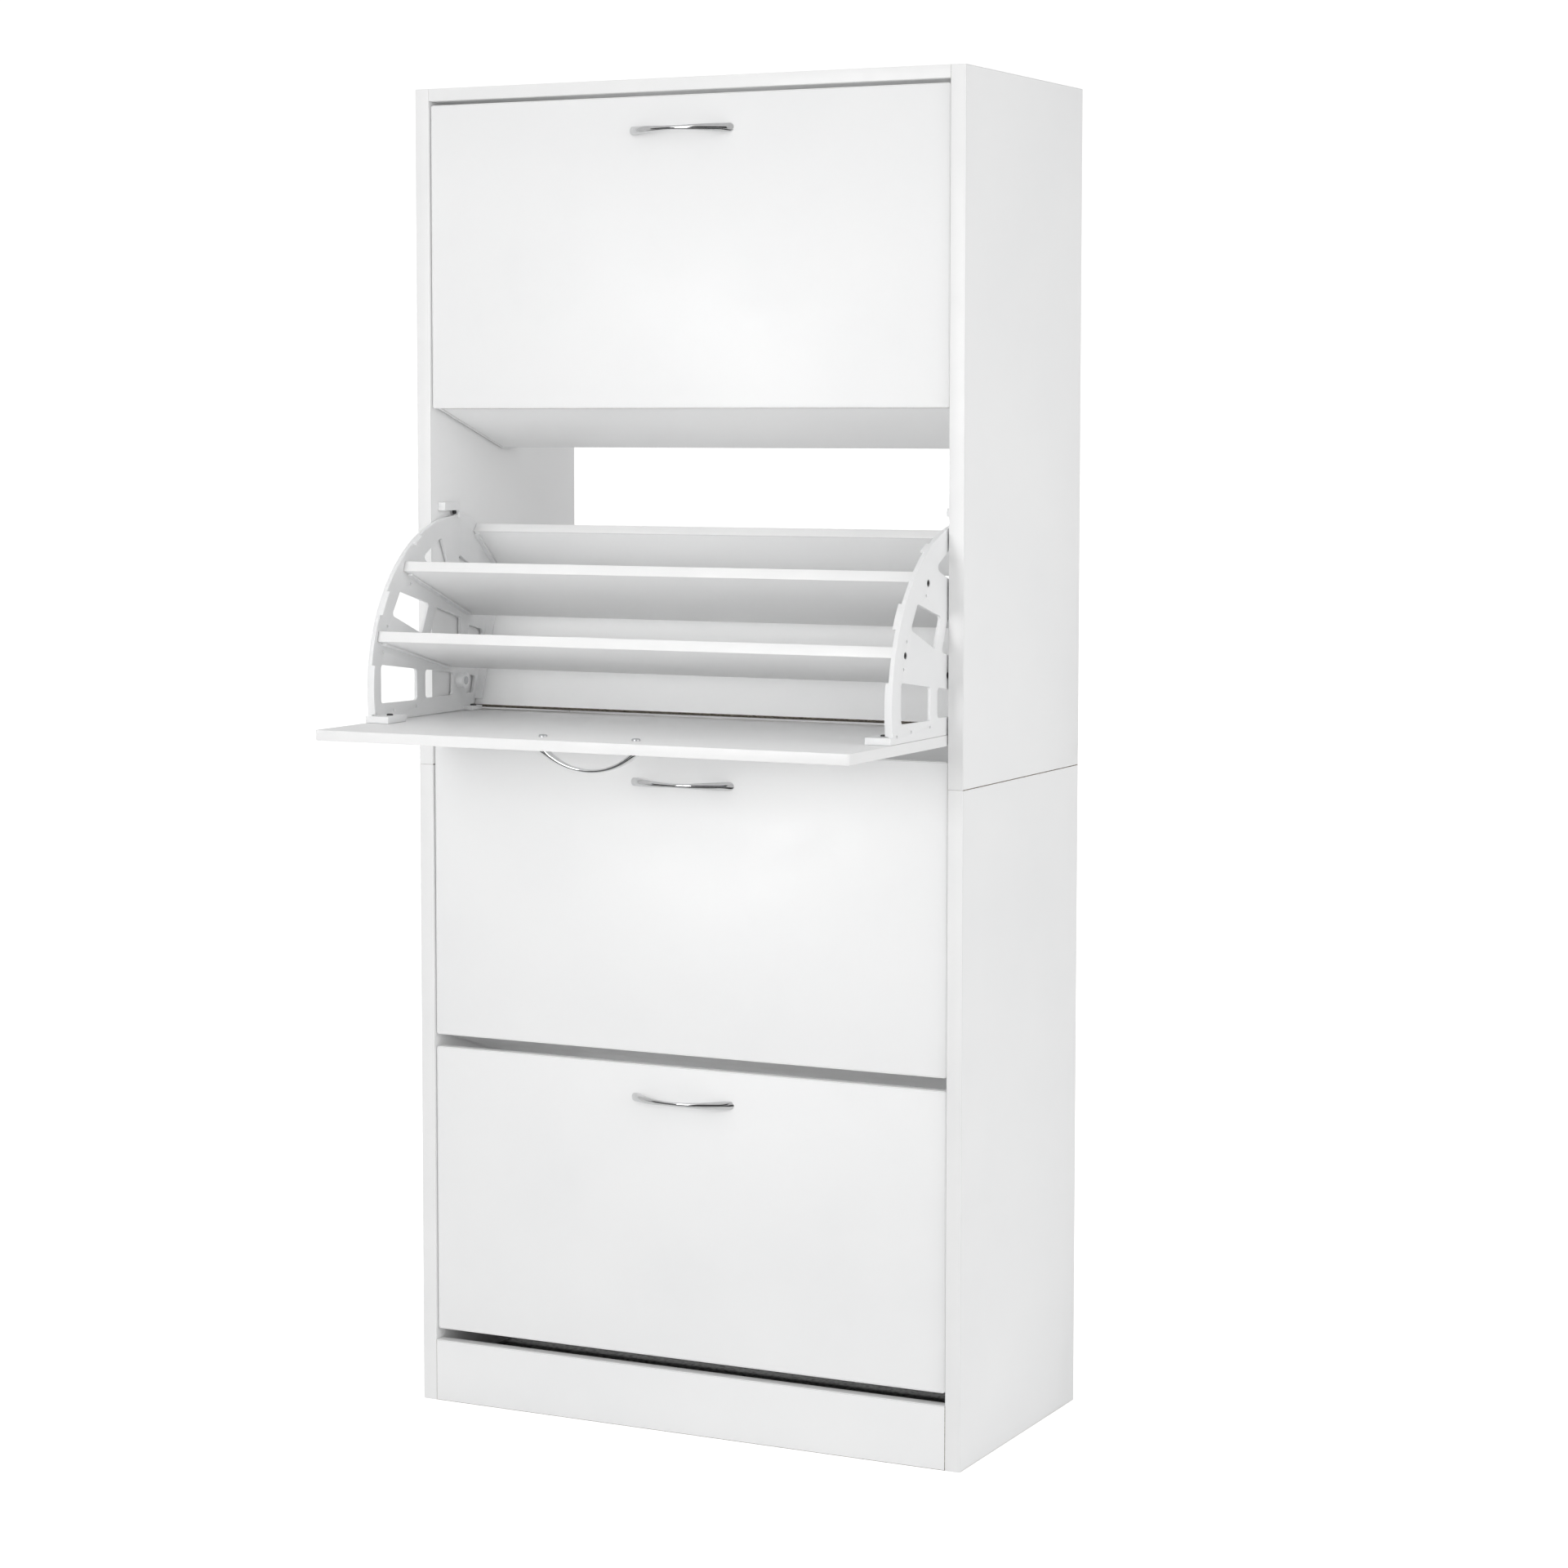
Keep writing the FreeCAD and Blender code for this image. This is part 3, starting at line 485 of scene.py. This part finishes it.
for side in SIDES:
    slab(f"side_panel_{side}_lower", "carcass", raw=(Y, Z, -Z))
    slab(f"side_panel_{side}_upper", "carcass", raw=(Y, -Z))
slab("top_board", "carcass", raw=(X, -X, Y))
slab("middle_board", "carcass", raw=(X, -X, Y))
slab("bottom_board", "carcass", raw=(X, -X, Y, -Y), faces=BACKING)
slab("plinth", "carcass", raw=(X, -X, -Z))
for rail in ("upper", "middle", "lower"):
    slab(f"rear_rail_{rail}", "carcass", raw=(X, -X))
for number in FLAPS:
    slab(f"flap_{number}_door", f"flap_{number}", radius=DOOR_CORNER)
    for label in ("shelf_front", "shelf_middle", "shelf_rear"):
        slab(f"flap_{number}_{label}", f"flap_{number}", raw=(X, -X))
    foot = CLOSED_FOOT if CLOSED[number] else OPEN_FOOT
    # The back board's raw foot shows the darkened chipboard: painted shade for the slit at its end.
    slab(f"flap_{number}_back_board", f"flap_{number}", raw=(X, -X, foot))


# ---------------------------------------------------------------- moulded pieces

FLAT_BELOW = math.radians(0.5)      # faces that meet at less than this become one
HARD_ABOVE = math.radians(30)       # edges sharper than this are rounded
BRACKET_ROUNDING, STOP_ROUNDING = 0.3 * MM, 0.6 * MM


def softened(node, body, width):
    """A plastic CAD node's own shape with its hard edges rounded off."""
    mesh = bmesh.new()
    mesh.from_mesh(frame["nodes"][node].data)
    bmesh.ops.remove_doubles(mesh, verts=mesh.verts, dist=MERGE)
    bmesh.ops.dissolve_limit(mesh, angle_limit=FLAT_BELOW, verts=mesh.verts, edges=mesh.edges)
    hard = [edge for edge in mesh.edges
            if edge.is_manifold and edge.calc_face_angle() > HARD_ABOVE]
    bmesh.ops.bevel(mesh, geom=hard, offset=width, segments=2, profile=0.5, affect="EDGES",
                    clamp_overlap=True)
    bmesh.ops.triangulate(mesh, faces=mesh.faces)
    piece(node + "_moulded", mesh, (PLASTIC,), body, "white_plastic", node)


for number in FLAPS:
    for side in SIDES:
        softened(f"flap_{number}_bracket_{side}", f"flap_{number}", BRACKET_ROUNDING)
softened("flap_stops", "carcass", STOP_ROUNDING)


# ---------------------------------------------------------------- handles

BOW_STEPS = 56
BOW_SIDES = 24
BOW_END = 55.0 * MM             # half of the bow's length
BOW_FOOT = 44.0 * MM            # where the inner arc meets the door
BOW_OUTER = 21.0 * MM           # how far the outer and inner arcs stand off the door
BOW_INNER = 17.8 * MM
PADDLE_RADIUS = 4.0 * MM
WAIST = 2.0 * MM                # half of the bow's height at its middle
ROUND_SECTION, FLAT_SECTION = 0.85, 0.3     # superellipse exponents: 1 is an ellipse, 0 a box


def arch(x, half_chord, rise):
    """Height of a circular arc that stands on a chord."""
    if abs(x) >= half_chord:
        return 0.0
    radius = (half_chord ** 2 + rise ** 2) / (2 * rise)
    return math.sqrt(radius ** 2 - x ** 2) - radius + rise


def half_height(x):
    """Half of the bow's height: round paddles at the ends, narrowing to a waist."""
    paddle = BOW_END - PADDLE_RADIUS
    if abs(x) > paddle:
        return math.sqrt(max(PADDLE_RADIUS ** 2 - (abs(x) - paddle) ** 2, 0.0))
    share = abs(x) / paddle
    return WAIST + (PADDLE_RADIUS - WAIST) * share * share * (3 - 2 * share)


def power(value, exponent):
    """A power that keeps the sign of its base."""
    return math.copysign(abs(value) ** exponent, value)


def handle(number):
    """A bow handle, lofted from superellipse sections. Its feet are flat on the door."""
    node = f"flap_{number}_handle"
    low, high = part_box(node)
    outward, upward = (-Y, Z) if CLOSED[number] else (-Z, -Y)
    base = (low + high) / 2 - outward * abs((high - low).dot(outward)) / 2
    mesh = bmesh.new()
    rings = []
    for step in range(1, BOW_STEPS):
        x = -BOW_END * math.cos(math.pi * step / BOW_STEPS)
        outer, inner = arch(x, BOW_END, BOW_OUTER), arch(x, BOW_FOOT, BOW_INNER)
        middle, depth, tall = (outer + inner) / 2, (outer - inner) / 2, half_height(x)
        ring = []
        for side in range(BOW_SIDES):
            turn = 2 * math.pi * side / BOW_SIDES
            on_door = abs(x) > BOW_FOOT and math.sin(turn) < 0
            section = FLAT_SECTION if on_door else ROUND_SECTION
            up, out = power(math.cos(turn), section), power(math.sin(turn), section)
            ring.append(mesh.verts.new(base + X * x + upward * tall * up
                                       + outward * (middle + depth * out)))
        rings.append(ring)
    join_rings(mesh, rings)
    for ring, tip in ((rings[0], -BOW_END), (rings[-1], BOW_END)):
        point = mesh.verts.new(base + X * tip)
        for index in range(BOW_SIDES):
            mesh.faces.new((ring[index], ring[(index + 1) % BOW_SIDES], point))
    piece(node + "_bow", mesh, (CHROME,), f"flap_{number}", "chrome", node)


for number in FLAPS:
    handle(number)


# ---------------------------------------------------------------- screws, cams and pegs

CROSS_WIDTH = 0.16              # half width of a cross recess, of the head's radius
CROSS_REACH = 0.56
CROSS_TAPER = 0.45
RECESS = 0.75                   # depth of the recess, of the head's height
TIP_LENGTH = 1.1                # length of a screw's point, of its shank's radius
TIP_RADIUS = 0.12               # radius of that point's end
HEAD_DOME = ((0.7, 0.0), (0.86, 0.1), (0.96, 0.32), (1.0, 0.6), (1.0, 1.0))
BRACKET_SCREW = (1.6 * MM, 1.5 * MM)        # height of the head and radius of the shank
HANDLE_SCREW = (2.2 * MM, 2.0 * MM)


def cross_outline():
    """A plus sign and the middles of its edges, for a head of radius 1."""
    points = []
    for quarter in range(4):
        turn = Matrix.Rotation(quarter * math.pi / 2, 2)
        middle = (CROSS_REACH + CROSS_WIDTH) / 2
        for point in ((CROSS_REACH, 0), (CROSS_REACH, CROSS_WIDTH), (middle, CROSS_WIDTH),
                      (CROSS_WIDTH, CROSS_WIDTH), (CROSS_WIDTH, middle), (CROSS_WIDTH, CROSS_REACH)):
            points.append(turn @ Vector(point))
    return points


CROSS = cross_outline()
CIRCLE = [point.normalized() for point in CROSS]


def add_cross_headed(mesh, top, inward, radius, recess, profile):
    """A turned solid with a cross recess in its outer face. profile is (radius, depth) from that
    face to the far end."""
    across = inward.orthogonal().normalized()
    beside = inward.cross(across)

    def ring(points, scale, depth):
        return [mesh.verts.new(top + (across * point.x + beside * point.y) * scale + inward * depth)
                for point in points]

    rings = [ring(CROSS, radius * CROSS_TAPER, recess), ring(CROSS, radius, 0.0)]
    rings += [ring(CIRCLE, scale, depth) for scale, depth in profile]
    join_rings(mesh, rings)
    close_ends(mesh, rings)


def add_screw(mesh, top, inward, head_radius, head_height, shank_radius, length):
    """A domed cross-head screw that points inward from the top of its head."""
    profile = [(head_radius * radius, head_height * depth) for radius, depth in HEAD_DOME]
    profile += [(shank_radius, head_height), (shank_radius, length - TIP_LENGTH * shank_radius),
                (shank_radius * TIP_RADIUS, length)]
    add_cross_headed(mesh, top, inward, head_radius, RECESS * head_height, profile)


def screws(node, body, made, head_height, shank_radius):
    """Redraw each screw of a CAD node, along the axis in which it is longest. The head is at the
    end that spans more than its diameter, corner to corner."""
    mesh = bmesh.new()
    for points in islands(node):
        low, high = span(points)
        sizes = high - low
        axis = max((X, Y, Z), key=sizes.dot)
        length = sizes.dot(axis)
        head_diameter = (sizes.x + sizes.y + sizes.z - length) / 2
        first, last = span([point for point in points if (point - low).dot(axis) < MERGE])
        inward = axis if (last - first).length > head_diameter else -axis
        top = (low + high) / 2 - inward * length / 2
        add_screw(mesh, top, inward, head_diameter / 2, head_height, shank_radius, length)
    piece(node + "_cross_head", mesh, (made,), body, "steel", node)


for number in FLAPS:
    # The bracket screws take the near-black steel, which is painted shade for their holes.
    screws(f"flap_{number}_bracket_screws", f"flap_{number}", SCREW_STEEL_PAINTED_HOLE_SHADE, *BRACKET_SCREW)
    screws(f"flap_{number}_handle_screws", f"flap_{number}", STEEL, *HANDLE_SCREW)


CAM_BEVEL = 0.4 * MM
CAM_SLOT = 2.5 * MM             # depth of the cross recess in a cam disc


def cam_discs():
    """Cast discs flush with the undersides of the boards, turned with a cross-head driver."""
    mesh = bmesh.new()
    for foot, radius, height in map(upright, islands("cam_discs")):
        profile = ((radius - CAM_BEVEL, 0.0), (radius, CAM_BEVEL), (radius, height))
        add_cross_headed(mesh, foot, Z, radius, CAM_SLOT, profile)
    piece("cam_discs_cast", mesh, (ZINC,), "carcass", "zinc", "cam_discs")


cam_discs()


PEG_SIDES = 32
PEG_DOME = 0.6                  # height of a peg's domed end, of its radius
PEG_DOME_TURNS = (0, 18, 36, 54, 72, 86)


def pegs():
    """Rubber pegs with a domed lower end."""
    mesh = bmesh.new()
    for foot, radius, height in map(upright, islands("stop_pegs")):
        profile = [(radius, height)]
        for turn in map(math.radians, PEG_DOME_TURNS):
            profile.append((radius * math.cos(turn), radius * PEG_DOME * (1 - math.sin(turn))))
        rings = []
        for ring_radius, lift in profile:
            turns = [2 * math.pi * side / PEG_SIDES for side in range(PEG_SIDES)]
            rings.append([mesh.verts.new(foot + Z * lift + X * ring_radius * math.cos(turn)
                                         + Y * ring_radius * math.sin(turn)) for turn in turns])
        join_rings(mesh, rings)
        close_ends(mesh, rings)
    piece("stop_pegs_domed", mesh, (RUBBER,), "carcass", "black_rubber", "stop_pegs")


pegs()

for node, made in (("dowels", BEECH), ("cam_bolts", STEEL), ("pivot_pins", STEEL)):
    data = frame["nodes"][node].data
    data.materials.clear()
    data.materials.append(made)


# ---------------------------------------------------------------- stage, light and camera

FLOOR_SIZE = 14.0
FLOOR_DROP = 0.1 * MM           # the floor lies this far below the cabinet
GLOW = (0.6, 0.75)              # the floor's own light, beside the cabinet and far from it
GLOW_DISTANCES = (0.55, 1.6)    # where it starts and stops growing, from the cabinet's middle


def floor():
    """A pale floor that looks white. Its glow is for the camera only and lights nothing."""
    made = shader("pale_floor", Base_Color=(0.9, 0.9, 0.9, 1.0), Roughness=0.7,
                  Emission_Color=(1.0, 1.0, 1.0, 1.0))
    distance = add(made, "VectorMath", operation="LENGTH")
    link(made, add(made, "TexCoord").outputs["Object"], distance, 0)
    glow = remap(made, distance.outputs["Value"], GLOW_DISTANCES, GLOW,
                 interpolation_type="SMOOTHSTEP")
    seen = add(made, "Math", operation="MULTIPLY")
    link(made, glow, seen, 0)
    link(made, add(made, "LightPath").outputs["Is Camera Ray"], seen, 1)
    link(made, seen.outputs["Value"], made.node_tree.nodes["Principled BSDF"], "Emission Strength")
    mesh = bmesh.new()
    bmesh.ops.create_grid(mesh, x_segments=1, y_segments=1, size=FLOOR_SIZE / 2)
    item = mesh_object("floor", mesh, (made,))
    item.location = (0, 0, cad_box[0].z - FLOOR_DROP)


WIDE, BEAM = math.radians(180), math.radians(20)    # how far a light spreads

# Name, place, the point that it faces, size, watts and spread.
LIGHTS = (
    ("key_light", (-0.7, -3.0, 1.2), (0.0, 0.0, 0.85), 0.9, 16, WIDE),
    ("flap_light", (-0.3, -3.0, 1.05), (0.0, 0.0, 0.8), 0.4, 0.12, BEAM),
    ("top_light", (-0.7, -2.8, 2.2), (0.0, 0.0, 1.0), 1.6, 8, WIDE),
    ("side_light", (3.4, -0.6, 1.0), (0.3, 0.1, 0.65), 2.0, 23, WIDE),
    ("back_light", (-0.8, 3.2, 1.7), (0.0, 0.2, 0.7), 2.0, 18, WIDE),
)


def softbox(name, location, target, size, watts, spread_angle):
    """A square area light that faces a point."""
    data = bpy.data.lights.new(name, "AREA")
    data.shape = "SQUARE"
    data.size = size
    data.energy = watts
    data.spread = spread_angle
    item = bpy.data.objects.new(name, data)
    item.location = location
    item.rotation_euler = (Vector(target) - Vector(location)).to_track_quat("-Z", "Y").to_euler()
    into_scene(item)


# Dark cards that only the shiny pieces mirror: a corner, and the way to the opposite corner.
REFLECTED_CARDS = (
    ("card_front", Vector((-6.9, -3.9, 0.1)), Vector((11.0, 0.0, 1.9))),
    ("card_low", Vector((-3.0, -2.4, 0.02)), Vector((6.0, 1.6, 0.0))),
)


def card(name, corner, reach):
    """A dark card out of the view, which lights nothing and shades nothing."""
    mesh = bmesh.new()
    corners = (corner, corner + X * reach.x, corner + reach, corner + reach - X * reach.x)
    mesh.faces.new([mesh.verts.new(point) for point in corners])
    black = shader(name, Base_Color=(0.02, 0.02, 0.02, 1.0), Roughness=0.9)
    item = mesh_object(name, mesh, (black,))
    item.visible_camera = False
    item.visible_diffuse = False
    item.visible_shadow = False


ROOM_LIGHT, ROOM_SEEN = 0.62, 1.1   # the room's brightness to the object and to the camera


def studio():
    """An even white room, brighter to the camera than to the object, and lights round it. A beam
    reaches between the boards of the open flap."""
    world = bpy.data.worlds.new("studio")
    world.use_nodes = True
    nodes, links = world.node_tree.nodes, world.node_tree.links
    room, seen = nodes["Background"], nodes.new("ShaderNodeBackground")
    for background, strength in ((room, ROOM_LIGHT), (seen, ROOM_SEEN)):
        background.inputs["Color"].default_value = (1, 1, 1, 1)
        background.inputs["Strength"].default_value = strength
    choose = nodes.new("ShaderNodeMixShader")
    links.new(nodes.new("ShaderNodeLightPath").outputs["Is Camera Ray"], choose.inputs["Fac"])
    links.new(room.outputs["Background"], choose.inputs[1])
    links.new(seen.outputs["Background"], choose.inputs[2])
    links.new(choose.outputs["Shader"], nodes["World Output"].inputs["Surface"])
    bpy.context.scene.world = world
    for light in LIGHTS:
        softbox(*light)
    for reflected in REFLECTED_CARDS:
        card(*reflected)


CAMERA_PLACE = (1.602, -3.0884, 0.971)
CAMERA_YAW = 26.7681            # degrees, to the left of straight back
CAMERA_DIP = 4.4701             # degrees below level
CAMERA_LENS = 83.9195           # millimetres, as is the sensor's width
CAMERA_SENSOR = 36.0
CAMERA_SHIFT = (0.0278, -0.05)


def camera():
    data = bpy.data.cameras.new("camera")
    data.lens = CAMERA_LENS
    data.sensor_width = CAMERA_SENSOR
    data.shift_x, data.shift_y = CAMERA_SHIFT
    item = bpy.data.objects.new("camera", data)
    item.location = CAMERA_PLACE
    item.rotation_euler = (math.radians(90 - CAMERA_DIP), 0, math.radians(CAMERA_YAW))
    bpy.context.scene.camera = into_scene(item)


floor()
studio()
camera()
bpy.context.scene.view_settings.view_transform = "Standard"
bpy.context.scene.view_settings.look = "None"

bpy.context.view_layer.update()
